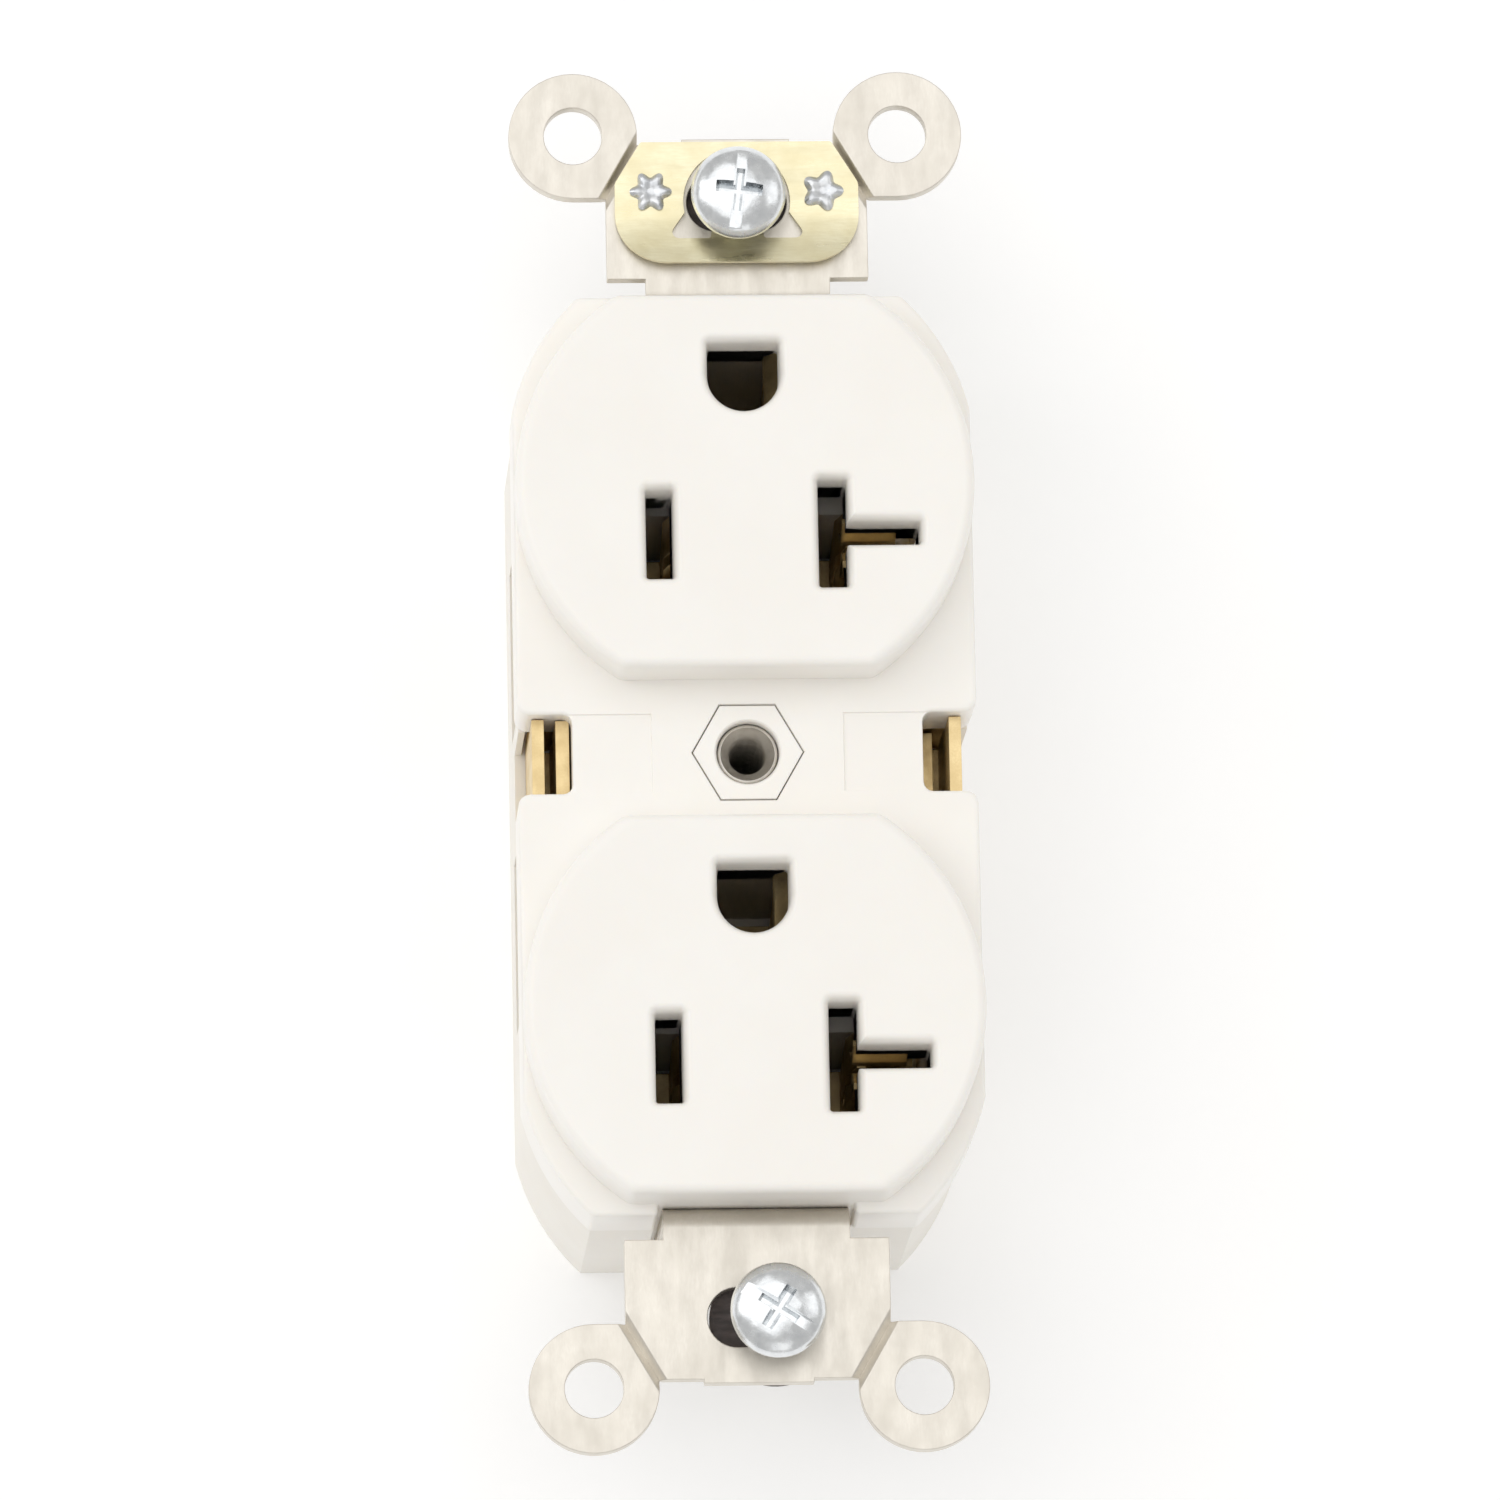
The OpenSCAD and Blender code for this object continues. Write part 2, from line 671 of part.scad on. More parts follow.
module mounting_screw(shift) {
    color("silver") translate([shift, 0, box_head_z]) difference() {
        union() {
            intersection() {
                cylinder(h = box_head_h, d = box_head_d);
                translate([0, 0, box_head_h - 4.6]) sphere(r = 4.6);
            }
            translate([0, 0, -box_screw_len])
                cylinder(h = box_neck_low - box_head_z + box_screw_len, d = box_screw_d);
            translate([0, 0, -box_screw_len + 1]) cylinder(h = box_screw_len - 1 + eps, r = box_neck_r);
        }
        translate([-4, -0.45, box_head_h - 1]) cube([8, 0.9, 2]);
        for (a = [0, 90]) rotate(a) translate([-1.7, -0.45, box_head_h - 1.5]) cube([3.4, 0.9, 2]);
    }
}

// A pressure plate on the neutral side, with ridges that grip the wires.
module clamp_plate() {
    difference() {
        block([clamp_x, -clamp_w / 2, -clamp_h / 2], [clamp_x + clamp_t, clamp_w / 2, clamp_h / 2]);
        x_shaft(clamp_x - 1, clamp_x + clamp_t + 1, term_d / 2 + fit);
        for (s = [-1, 1]) for (k = [-1.5 : 1 : 1.5]) translate([clamp_x, s * clamp_w * 0.36, k * 1.6])
            rotate([90, 45, 0]) cube([0.5, 0.5, 2.6], center = true);
    }
}

// A terminal screw along +X with a slotted head; reach is its length past the head.
module terminal_screw(reach) {
    difference() {
        union() {
            x_shaft(term_head_x - reach, term_head_x + eps, term_d / 2);
            x_shaft(term_head_x, term_head_x + term_head_t, term_head_d / 2);
        }
        translate([term_head_x + term_head_t - 1.1, -4, -0.55]) cube([2, 8, 1.1]);
    }
}

module at_terminal(side, y) {
    on_side(side) translate([0, y, -term_z]) children();
}

module at_ground_terminal() {
    translate([lug_out - bus_x - bus_t, lug_term_y, -lug_term_z]) children();
}

mounting_strap();
self_ground_clip();
clip_stakes();
front_cover();
back_body();
post_sleeve();
centre_post();
assembly_screws();
hot_bus();
neutral_bus();
hot_contact(blade_ys[0]);  // hot_contact_upper
hot_contact(blade_ys[1]);  // hot_contact_lower
neutral_contact(blade_ys[0]);  // neutral_contact_upper
neutral_contact(blade_ys[1]);  // neutral_contact_lower
ground_contact(ground_ys[0]);  // ground_contact_upper
ground_contact(ground_ys[1]);  // ground_contact_lower
contact_rivets();
ground_rivets();
translate([0, slot_y, 0]) screw_retainer(0);  // screw_retainer_upper
translate([0, -slot_y, 0]) screw_retainer(lower_shift);  // screw_retainer_lower
translate([0, slot_y, 0]) mounting_screw(0);  // mounting_screw_upper
translate([0, -slot_y, 0]) mounting_screw(lower_shift);  // mounting_screw_lower
color("silver") at_terminal(-1, term_y) clamp_plate();  // hot_clamp_upper
color("silver") at_terminal(-1, -term_y) clamp_plate();  // hot_clamp_lower
color("silver") at_terminal(1, term_y) clamp_plate();  // neutral_clamp_upper
color("silver") at_terminal(1, -term_y) clamp_plate();  // neutral_clamp_lower
color("gold") at_terminal(-1, term_y) terminal_screw(term_len);  // hot_screw_upper
color("gold") at_terminal(-1, -term_y) terminal_screw(term_len);  // hot_screw_lower
color("white") at_terminal(1, term_y) terminal_screw(term_len);  // neutral_screw_upper
color("white") at_terminal(1, -term_y) terminal_screw(term_len);  // neutral_screw_lower
color("silver") at_ground_terminal() clamp_plate();  // ground_clamp
color("green") at_ground_terminal() terminal_screw(lug_term_len);  // ground_screw
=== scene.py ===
"""A duplex wall outlet: its looks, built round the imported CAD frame.

Shapes are made in millimetres and scaled to metres when they become objects. +Z points out of
the wall and +Y is up as installed. Sizes that the frame holds are read from it.
"""

import json
import math

import bmesh
import bpy
from mathutils import Matrix, Vector

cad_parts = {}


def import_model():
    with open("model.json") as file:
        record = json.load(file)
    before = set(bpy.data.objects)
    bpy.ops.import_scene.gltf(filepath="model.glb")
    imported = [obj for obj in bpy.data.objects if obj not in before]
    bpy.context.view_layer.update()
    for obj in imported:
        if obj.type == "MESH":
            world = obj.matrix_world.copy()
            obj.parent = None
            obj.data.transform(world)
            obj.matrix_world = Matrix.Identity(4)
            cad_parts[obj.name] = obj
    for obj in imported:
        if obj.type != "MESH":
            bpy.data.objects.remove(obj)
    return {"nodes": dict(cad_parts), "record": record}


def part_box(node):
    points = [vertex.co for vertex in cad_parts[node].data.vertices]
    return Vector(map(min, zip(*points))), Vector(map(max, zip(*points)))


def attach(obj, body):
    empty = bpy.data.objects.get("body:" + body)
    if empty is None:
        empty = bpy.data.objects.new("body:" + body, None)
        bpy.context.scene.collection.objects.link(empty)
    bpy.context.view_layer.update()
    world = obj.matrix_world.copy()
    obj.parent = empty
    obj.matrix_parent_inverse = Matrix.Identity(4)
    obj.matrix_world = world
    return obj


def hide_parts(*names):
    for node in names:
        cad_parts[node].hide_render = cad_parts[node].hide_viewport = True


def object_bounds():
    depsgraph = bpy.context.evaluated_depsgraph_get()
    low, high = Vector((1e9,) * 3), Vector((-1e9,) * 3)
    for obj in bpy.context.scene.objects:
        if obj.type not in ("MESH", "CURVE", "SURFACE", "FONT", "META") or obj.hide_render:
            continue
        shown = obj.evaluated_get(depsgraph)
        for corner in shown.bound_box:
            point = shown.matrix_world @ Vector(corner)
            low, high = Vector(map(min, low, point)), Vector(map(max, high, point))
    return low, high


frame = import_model()
cad_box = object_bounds()

MM = 0.001
SOLVER = "MANIFOLD"         # for booleans of closed solids made of triangles


def box_mm(node):
    """Lowest and highest corner of a CAD node, in millimetres."""
    low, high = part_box(node)
    return low / MM, high / MM


def middle_y(node):
    """Half way up a CAD node, in millimetres."""
    low, high = box_mm(node)
    return (low.y + high.y) / 2


# ---------- sizes, in millimetres ----------

cover_low, cover_high = box_mm("front_cover")
HALF_W = cover_high.x
HALF_L = cover_high.y
JOINT_Z = cover_low.z
FACE_TOP = cover_high.z
SHOULDER_Z = box_mm("post_sleeve")[1].z
BACK_Z = box_mm("back_body")[0].z
FACE_Y = 19.45              # distance from the middle to a face's centre
FACE_R = 16.8
FACE_HALF_H = 14.0
CORNER_R = 17.3             # the shoulder's rounded corners, and how far up they are centred
CORNER_Y = 21.8
CORNER_SWEEP = (13.1, 46.27)    # where a corner's arc starts and ends, in degrees
NOTCH_DEEP = 4.0            # side notches that show the break-off tabs
NOTCH_HALF = 2.95
LEG_HALF = 7.2              # end notches where the strap leaves the body
LEG_Y = 33.4
PANEL_X = (7.0, 16.2)       # shallow panels beside the sleeve
PANEL_DEEP = 0.15
SLEEVE_AF = 7.0             # hexagonal sleeve, across flats
SLEEVE_GAP = 0.12
SLEEVE_BORE_R = 2.3
POST_R = 2.25
BORE_R = 1.42
BORE_LOW = -16
BLADE_X = 6.35              # slots, from a face's centre
BLADE_DROP = 3.96
HOT_HALF = (1.0, 3.3)       # half the straight slot's width and height
TEE_HALF = (1.075, 4.025)   # the same for the T's upright
STEM_HALF = 0.875           # the T's stem, and how far right it ends
STEM_END = 12.75
OPENING_CORNER = 0.2
GROUND_RISE = 7.94
GROUND_R = 2.65
GROUND_CUT = 0.2            # how far the flat top lies below a full circle's
COVER_WALL = 1.6            # the cover's walls round the shoulder and the faces
FACE_WALL = 1.8
FACE_ROOF = 2.2
SHOULDER_ROOM = 0.3         # top of the room under the shoulder
SLEEVE_WALL_R = 5.5         # posts that stand in that room
SCREW_WALL_R = 3.2
NOTCH_WALL = 1.2            # walls behind the notches, and beside the strap
LEG_WALL = 1.0
COLLAR_T = 1.0              # walls round the openings, and how low they reach
COLLAR_LOW = 3.6
SCREW_CORNERS = ((-11, 29.3), (-11, -29.3), (11, -29.3))
SCREW_HOLE_R = 1.47
SCREW_HOLE_TOP = 0.5
LEAF_T = 0.5                # flared noses of the contacts' leaves
TEE_NOSE_X = (7.2, 11.2)
PIN_NOSE_HALF = 3.0
STRAP_T = 1.3
SLOT_Y = 41.67              # mounting slots
CLIP_T = 0.4
CLIP_HALF = 9.0
CLIP_LOW = 36.85
CLIP_CORNER = 3.8
CLIP_TOP = 46.2             # narrower upper edge, above the clip's shoulders
CLIP_TOP_HALF = 7.05
CLIP_SHOULDER_Y = 43.05
CLIP_FOLD_Y = 40.6          # where the springy lip starts, and how far it rises
CLIP_LIP = 0.9
CLIP_LIP_CURVE = 1.35
CLIP_HOLE_R = 3.95          # the clip's opening round the mounting slot, wider at its low end
CLIP_HOLE_LOW = 38.8
CLIP_HOLE_HALF = 5.25
TONGUE_HALF = 1.95          # the tongue that stands up into it
TONGUE_TOP = 39.55
STAKE_X = 6.35
STAKE_Y = 42.4
STAKE_R = 1.0
PITCH = 0.794               # of every thread: 32 to the inch
BOX_HEAD_R = 3.5            # mounting screws
BOX_HEAD_H = 2.0
BOX_HEAD_RIM = 0.28
BOX_NECK_R = 1.45
BOX_NECK_LOW = -1.2
BOX_THREAD_R = 1.75
TERM_HEAD_R = 3.7           # terminal screws
TERM_HEAD_T = 1.9
TERM_THREAD_R = 2.08
SLOT_DEEP = 0.75            # through slots in the screws' heads
FINE = 64                   # steps round a circle that is seen close up
WELD = 0.002                # points this close are joined before edges are rounded
FLAT_ANGLE = 1              # degrees: faces this level with each other become one
EDGE_ANGLE = 35             # edges sharper than this are rounded
SHADE_ANGLE = 38            # edges sharper than this are shaded as edges


# ---------- outlines: lists of (x, y), anticlockwise ----------

def arc(centre, radius, start, end, steps):
    """Points on an arc between two angles in degrees, both ends among them."""
    turns = [math.radians(start + (end - start) * i / steps) for i in range(steps + 1)]
    return [(centre[0] + radius * math.cos(t), centre[1] + radius * math.sin(t)) for t in turns]


def circle(centre, radius, steps=48):
    return arc(centre, radius, 0, 360, steps)[:-1]


def box_outline(x0, y0, x1, y1):
    return [(x0, y0), (x1, y0), (x1, y1), (x0, y1)]


def rounded(corners, steps=4):
    """An outline from corners (x, y, radius), with an arc at each corner that has a radius."""
    points = []
    for i, (x, y, radius) in enumerate(corners):
        here = Vector((x, y))
        if not radius:
            points.append((x, y))
            continue
        to_last = (Vector(corners[i - 1][:2]) - here).normalized()
        to_next = (Vector(corners[(i + 1) % len(corners)][:2]) - here).normalized()
        half = to_last.angle(to_next) / 2
        centre = here + (to_last + to_next).normalized() * radius / math.sin(half)
        first = here + to_last * radius / math.tan(half) - centre
        last = here + to_next * radius / math.tan(half) - centre
        swing = first.angle_signed(last)
        for k in range(steps + 1):
            turned = first.copy()
            turned.rotate(Matrix.Rotation(-swing * k / steps, 2))
            points.append(tuple(centre + turned))
    return points


def inset(outline, depth):
    """The outline drawn in by depth all round, or out where depth is below zero."""
    points = [Vector(p) for p in outline]
    moved = []
    for i, here in enumerate(points):
        before = (here - points[i - 1]).normalized()
        after = (points[(i + 1) % len(points)] - here).normalized()
        normals = Vector((-before.y, before.x)), Vector((-after.y, after.x))
        step = (normals[0] + normals[1]) * depth / (1 + normals[0].dot(normals[1]))
        moved.append(tuple(here + step))
    return moved


def shift(outline, x, y):
    return [(px + x, py + y) for px, py in outline]


def mirrored_four(quadrant):
    """A whole outline from the corners (x, y, radius) of its first quadrant."""
    flipped = [(-x, y, r) for x, y, r in reversed(quadrant)]
    upper = quadrant + flipped
    return upper + [(-x, -y, r) for x, y, r in upper]


def shoulder_bend():
    """The upper right corner of the shoulder."""
    return arc((0, CORNER_Y), CORNER_R, *CORNER_SWEEP, 14)


def shoulder_outline():
    """The shoulder with its side and end notches."""
    bend = shoulder_bend()
    quadrant = [(HALF_W - NOTCH_DEEP, NOTCH_HALF, 0.7), (HALF_W, NOTCH_HALF, 0.9)]
    quadrant += [(x, y, 0) for x, y in bend[:-1]]
    quadrant += [(bend[-1][0], HALF_L, 0.6), (LEG_HALF, HALF_L, 0.35), (LEG_HALF, LEG_Y, 0.25)]
    return rounded(mirrored_four(quadrant))


def plain_shoulder_outline():
    """The shoulder without its notches."""
    return rounded(mirrored_four([(x, y, 0) for x, y in shoulder_bend()]))


def face_outline():
    """A round face with two flat ends, centred on (0, 0)."""
    steps = 40
    angle = math.degrees(math.asin(FACE_HALF_H / FACE_R))
    side = arc((0, 0), FACE_R, -angle, angle, steps)
    corners = [(x, y, 1.2 if i in (0, steps) else 0) for i, (x, y) in enumerate(side)]
    corners += [(-x, -y, r) for x, y, r in corners]
    return rounded(corners, 5)


def ground_outline():
    """The ground pin's opening, round below with a flat top."""
    top = GROUND_RISE + GROUND_R - GROUND_CUT
    corners = [(x, y, 0) for x, y in arc((0, GROUND_RISE), GROUND_R, 180, 360, 24)]
    return rounded(corners + [(GROUND_R, top, 0.25), (-GROUND_R, top, 0.25)])


def hot_outline():
    """The straight slot."""
    x, y = -BLADE_X, -BLADE_DROP
    half_w, half_h = HOT_HALF
    corners = box_outline(x - half_w, y - half_h, x + half_w, y + half_h)
    return rounded([(*c, OPENING_CORNER) for c in corners])


def tee_outline():
    """The upright slot with a stem to the right."""
    x, y = BLADE_X, -BLADE_DROP
    half_w, half_h = TEE_HALF
    left, right = x - half_w, x + half_w
    low, high = y - half_h, y + half_h
    stem_low, stem_high = y - STEM_HALF, y + STEM_HALF
    soft = OPENING_CORNER
    return rounded([
        (left, low, soft), (right, low, soft), (right, stem_low, 0),
        (STEM_END, stem_low, soft), (STEM_END, stem_high, soft), (right, stem_high, 0),
        (right, high, soft), (left, high, soft)])


def hexagon(across_flats):
    return arc((0, 0), across_flats / 2 / math.cos(math.radians(30)), 0, 300, 5)


# ---------- solids: bmeshes in millimetres ----------

def skin(rings):
    """A closed bmesh through rings of points that all have the same number of points."""
    made = bmesh.new()
    rows = [[made.verts.new(p) for p in ring] for ring in rings]
    for low, high in zip(rows, rows[1:]):
        for i in range(len(low)):
            j = (i + 1) % len(low)
            made.faces.new((low[i], low[j], high[j], high[i]))
    made.faces.new(list(reversed(rows[0])))
    made.faces.new(rows[-1])
    return made


def solid(outline, walls):
    """A solid standing on an outline. walls lists (height, inset) from the bottom up."""
    return skin([[(x, y, z) for x, y in inset(outline, depth)] for z, depth in walls])


def slab(outline, low, high):
    return solid(outline, [(low, 0), (high, 0)])


def along_x(outline, x0, x1):
    """A solid whose outline is drawn in (y, z) and runs from x0 to x1."""
    return skin([[(x, y, z) for y, z in outline] for x in (x0, x1)])


def revolve(profile, steps=48):
    """A closed solid of revolution about Z from (radius, height) points, lowest first."""
    return skin([[(x, y, z) for x, y in circle((0, 0), r, steps)] for r, z in profile])


def threaded(radius, depth, low, high, steps=24):
    """A threaded rod along Z from low to high. The thread fades out at both ends."""
    rows = round((high - low) / PITCH * 8)
    rings = []
    for k in range(rows + 1):
        z = low + (high - low) * k / rows
        fade = min(1, (z - low) / PITCH, (high - z) / PITCH)
        ring = []
        for i in range(steps):
            turn = i / steps
            phase = (z / PITCH - turn) % 1
            ridge = 1 - abs(2 * phase - 1)
            r = radius - depth * (1 - fade * ridge)
            ring.append((r * math.cos(2 * math.pi * turn), r * math.sin(2 * math.pi * turn), z))
        rings.append(ring)
    return skin(rings)


def to_object(shape, name):
    """Links a millimetre bmesh as an object in metres, with outward normals."""
    bmesh.ops.recalc_face_normals(shape, faces=shape.faces)
    shape.transform(Matrix.Scale(MM, 4))
    mesh = bpy.data.meshes.new(name)
    shape.to_mesh(mesh)
    shape.free()
    made = bpy.data.objects.new(name, mesh)
    bpy.context.scene.collection.objects.link(made)
    return made


def from_object(piece):
    """The piece's mesh, as a millimetre bmesh."""
    shape = bmesh.new()
    shape.from_mesh(piece.data)
    shape.transform(Matrix.Scale(1 / MM, 4))
    return shape


def combined(shape, others, operation):
    """shape with the other solids cut away, added or intersected. All are millimetre bmeshes."""
    bmesh.ops.triangulate(shape, faces=shape.faces)
    base = to_object(shape, "base")
    for other in others:
        bmesh.ops.triangulate(other, faces=other.faces)
        tool = to_object(other, "tool")
        change = base.modifiers.new("cut", "BOOLEAN")
        change.operation = operation
        change.solver = SOLVER
        change.object = tool
        evaluated = base.evaluated_get(bpy.context.evaluated_depsgraph_get())
        result = bpy.data.meshes.new_from_object(evaluated)
        base.modifiers.clear()
        base.data = result
        bpy.data.objects.remove(tool)
    made = from_object(base)
    bpy.data.objects.remove(base)
    return made


def cut(shape, *others):
    return combined(shape, others, "DIFFERENCE")


def joined(shape, *others):
    return combined(shape, others, "UNION")


def common(shape, *others):
    return combined(shape, others, "INTERSECT")


def edges_softened(shape, width):
    """Rounds every sharp edge of a shape."""
    bmesh.ops.remove_doubles(shape, verts=shape.verts, dist=WELD)
    level = math.radians(FLAT_ANGLE)
    bmesh.ops.dissolve_limit(shape, angle_limit=level, verts=shape.verts, edges=shape.edges)
    limit = math.radians(EDGE_ANGLE)
    sharp = [e for e in shape.edges if len(e.link_faces) == 2 and e.calc_face_angle(0) > limit]
    bmesh.ops.bevel(
        shape, geom=sharp, offset=width, segments=2, profile=0.6,
        affect="EDGES", clamp_overlap=True)
    return shape


def finished(shape, name, node, paint=None):
    """Makes a shape into the piece that stands for a CAD node, in its slot's paint or another."""
    body = body_of(node)
    slot = slot_of(node)
    piece = to_object(shape, name)
    mesh = piece.data
    mesh.materials.append(PAINTS[paint or slot])
    mesh.polygons.foreach_set("use_smooth", [True] * len(mesh.polygons))
    mesh.set_sharp_from_angle(angle=math.radians(SHADE_ANGLE))
    weigh = piece.modifiers.new("weighted normals", "WEIGHTED_NORMAL")
    weigh.keep_sharp = True
    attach(piece, body)
    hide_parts(node)
    return piece


def body_of(node):
    """The CAD body that a node rides on."""
    bodies = frame["record"]["behaviour"]["bodies"]
    return next(body for body, nodes in bodies.items() if node in nodes)


def slot_of(node):
    """The record's material slot of a node."""
    parts = frame["record"]["subparts"]
    return next(p["material_slot"] for p in parts if p["node"] == node)


# ---------- materials ----------

class Paint:
    """A procedural material, with textures laid out in millimetres on the piece itself."""

    def __init__(self, name, **sockets):
        self.material = bpy.data.materials.new(name)
        self.material.use_nodes = True
        self.tree = self.material.node_tree
        self.shader = self.tree.nodes["Principled BSDF"]
        for socket, value in sockets.items():
            self.shader.inputs[socket.replace("_", " ")].default_value = value
        self.where = self.tree.nodes.new("ShaderNodeTexCoord").outputs["Object"]

    def link(self, output, node, socket):
        self.tree.links.new(output, node.inputs[socket])

    def noise(self, size, detail=3, stretch=(1, 1, 1), rough=0.55):
        """Noise with features of about size millimetres, longer along an axis by stretch."""
        place = self.tree.nodes.new("ShaderNodeMapping")
        place.inputs["Scale"].default_value = [1 / (MM * size * s) for s in stretch]
        self.link(self.where, place, "Vector")
        texture = self.tree.nodes.new("ShaderNodeTexNoise")
        texture.inputs["Scale"].default_value = 1
        texture.inputs["Detail"].default_value = detail
        texture.inputs["Roughness"].default_value = rough
        self.link(place.outputs["Vector"], texture, "Vector")
        return texture.outputs["Fac"]

    def graded(self, source, low, high, start=0.35, end=0.65):
        """A number from low to high as source goes from start to end."""
        scale = self.tree.nodes.new("ShaderNodeMapRange")
        ends = {"From Min": start, "From Max": end, "To Min": low, "To Max": high}
        for socket, value in ends.items():
            scale.inputs[socket].default_value = value
        self.link(source, scale, "Value")
        return scale.outputs["Result"]

    def blend(self, fac, first, second):
        """A colour between two colours, or colour outputs, as fac goes from 0 to 1."""
        mix = self.tree.nodes.new("ShaderNodeMix")
        mix.data_type = "RGBA"
        self.link(fac, mix, "Factor")
        for socket, value in (("A", first), ("B", second)):
            slot = next(s for s in mix.inputs if s.name == socket and s.type == "RGBA")
            if isinstance(value, tuple):
                slot.default_value = (*value, 1)
            else:
                self.tree.links.new(value, slot)
        return next(s for s in mix.outputs if s.type == "RGBA")

    def colour(self, output):
        self.link(output, self.shader, "Base Color")

    def roughness(self, output):
        self.link(output, self.shader, "Roughness")

    def bump(self, *layers):
        """Layers are (height output, depth in millimetres), the coarsest first."""
        last = None
        for height, depth in layers:
            node = self.tree.nodes.new("ShaderNodeBump")
            node.inputs["Distance"].default_value = depth * MM
            self.link(height, node, "Height")
            if last:
                self.link(last, node, "Normal")
            last = node.outputs["Normal"]
        self.link(last, self.shader, "Normal")


def nylon(name, light, dark, grain, shine):
    """Moulded nylon: a warm white with a faint mottle, flow marks and a fine moulded grain."""
    paint = Paint(name, IOR=1.5, Subsurface_Weight=0.12, Subsurface_Scale=0.0008)
    paint.shader.inputs["Subsurface Radius"].default_value = (1, 0.8, 0.55)
    paint.colour(paint.blend(paint.graded(paint.noise(9, 4), 0, 1), light, dark))
    paint.roughness(paint.graded(paint.noise(3.5, 4), shine - 0.05, shine + 0.06))
    paint.bump((paint.noise(6, 2), 0.02), (paint.noise(0.12, 3), grain))
    return paint.material


def sheet_metal(name, light, dark, stretch, shine, scratch=0.01):
    """Rolled and plated sheet: grain along the roll, mottled plating and small scratches."""
    paint = Paint(name, Metallic=1)
    mottle = paint.graded(paint.noise(2.2, 5), 0, 1, 0.3, 0.7)
    grain = paint.noise(0.16, 3, stretch)
    worn = paint.blend(mottle, light, dark)
    streaks = paint.graded(grain, 0, 0.5)
    paint.colour(paint.blend(streaks, worn, dark))
    paint.roughness(paint.graded(paint.noise(1.1, 4, stretch), shine - 0.06, shine + 0.08))
    paint.bump((paint.noise(4, 3), 0.02), (grain, scratch), (paint.noise(0.5, 4), scratch))
    return paint.material


def bright_metal(name, light, dark, shine):
    """A plated, cold-headed piece: bright, with tool marks and a slightly cloudy plating."""
    paint = Paint(name, Metallic=1)
    paint.colour(paint.blend(paint.graded(paint.noise(0.9, 4), 0, 1, 0.3, 0.7), light, dark))
    paint.roughness(paint.graded(paint.noise(0.6, 4), shine - 0.05, shine + 0.1))
    paint.bump((paint.noise(1.3, 2), 0.03), (paint.noise(0.15, 3), 0.004))
    return paint.material


def fibre(name, light, dark):
    """Dark vulcanised fibre, with short felted strands."""
    paint = Paint(name)
    paint.colour(paint.blend(paint.graded(paint.noise(0.5, 5, (3, 1, 1)), 0, 1), light, dark))
    paint.roughness(paint.graded(paint.noise(0.8, 3), 0.6, 0.8))
    paint.bump((paint.noise(0.25, 4, (3, 1, 1)), 0.02))
    return paint.material


PAINTS = {
    "cover_plastic": nylon("cover nylon", (0.95, 0.925, 0.88), (0.935, 0.905, 0.855), 0.0015, 0.36),
    "body_plastic": nylon("body nylon", (0.9, 0.87, 0.81), (0.88, 0.845, 0.78), 0.004, 0.46),
    "strap_steel": sheet_metal(
        "plated strap steel", (0.78, 0.74, 0.67), (0.69, 0.65, 0.58), (1, 4, 1), 0.42, 0.005),
    "clip_brass": sheet_metal(
        "pale spring brass", (0.85, 0.8, 0.58), (0.73, 0.66, 0.43), (6, 1, 1), 0.32, 0.005),
    "contact_brass": sheet_metal(
        "stamped brass", (0.83, 0.67, 0.38), (0.68, 0.52, 0.27), (1, 1, 5), 0.42),
    "rivet_metal": bright_metal("rivet brass", (0.75, 0.6, 0.32), (0.6, 0.46, 0.24), 0.32),
    "post_metal": bright_metal("turned eyelet", (0.74, 0.71, 0.66), (0.6, 0.57, 0.52), 0.38),
    "case_screw_zinc": bright_metal("case screw zinc", (0.76, 0.77, 0.78), (0.6, 0.62, 0.65), 0.32),
    "box_screw_zinc": bright_metal("bright zinc", (0.84, 0.86, 0.87), (0.7, 0.72, 0.74), 0.2),
    "clamp_steel": sheet_metal(
        "zinc plated pressing", (0.76, 0.76, 0.75), (0.62, 0.62, 0.61), (1, 4, 1), 0.36),
    "hot_screw_brass": bright_metal("brass screw", (0.86, 0.7, 0.36), (0.74, 0.58, 0.27), 0.24),
    "neutral_screw_nickel": bright_metal("nickel screw", (0.84, 0.83, 0.8), (0.72, 0.7, 0.67), 0.24),
    "ground_screw_green": bright_metal("green screw", (0.1, 0.36, 0.17), (0.05, 0.22, 0.1), 0.3),
    "retainer_fibre": fibre("fibre retainer", (0.09, 0.07, 0.065), (0.045, 0.036, 0.033)),
}


# ---------- carried-over CAD nodes, with their stamped and moulded edges rounded ----------

def refined(node, width, *added):
    """A CAD node with rounded edges, and any solids added to it, as a piece that stands for it."""
    shape = edges_softened(from_object(frame["nodes"][node]), width)
    if added:
        shape = joined(shape, *added)
    return finished(shape, node + "_piece", node)


def strip(path, thick):
    """The outline of a bent strip that follows a path of points."""
    points = [Vector(p) for p in path]
    last = len(points) - 1
    sides = []
    for i in range(last + 1):
        before = (points[max(i, 1)] - points[max(i, 1) - 1]).normalized()
        after = (points[min(i, last - 1) + 1] - points[min(i, last - 1)]).normalized()
        along = (before + after).normalized()
        sides.append(Vector((-along.y, along.x)) * thick / 2 / along.dot(before))
    left = [tuple(p + s) for p, s in zip(points, sides)]
    right = [tuple(p - s) for p, s in zip(points, sides)]
    return left + right[::-1]


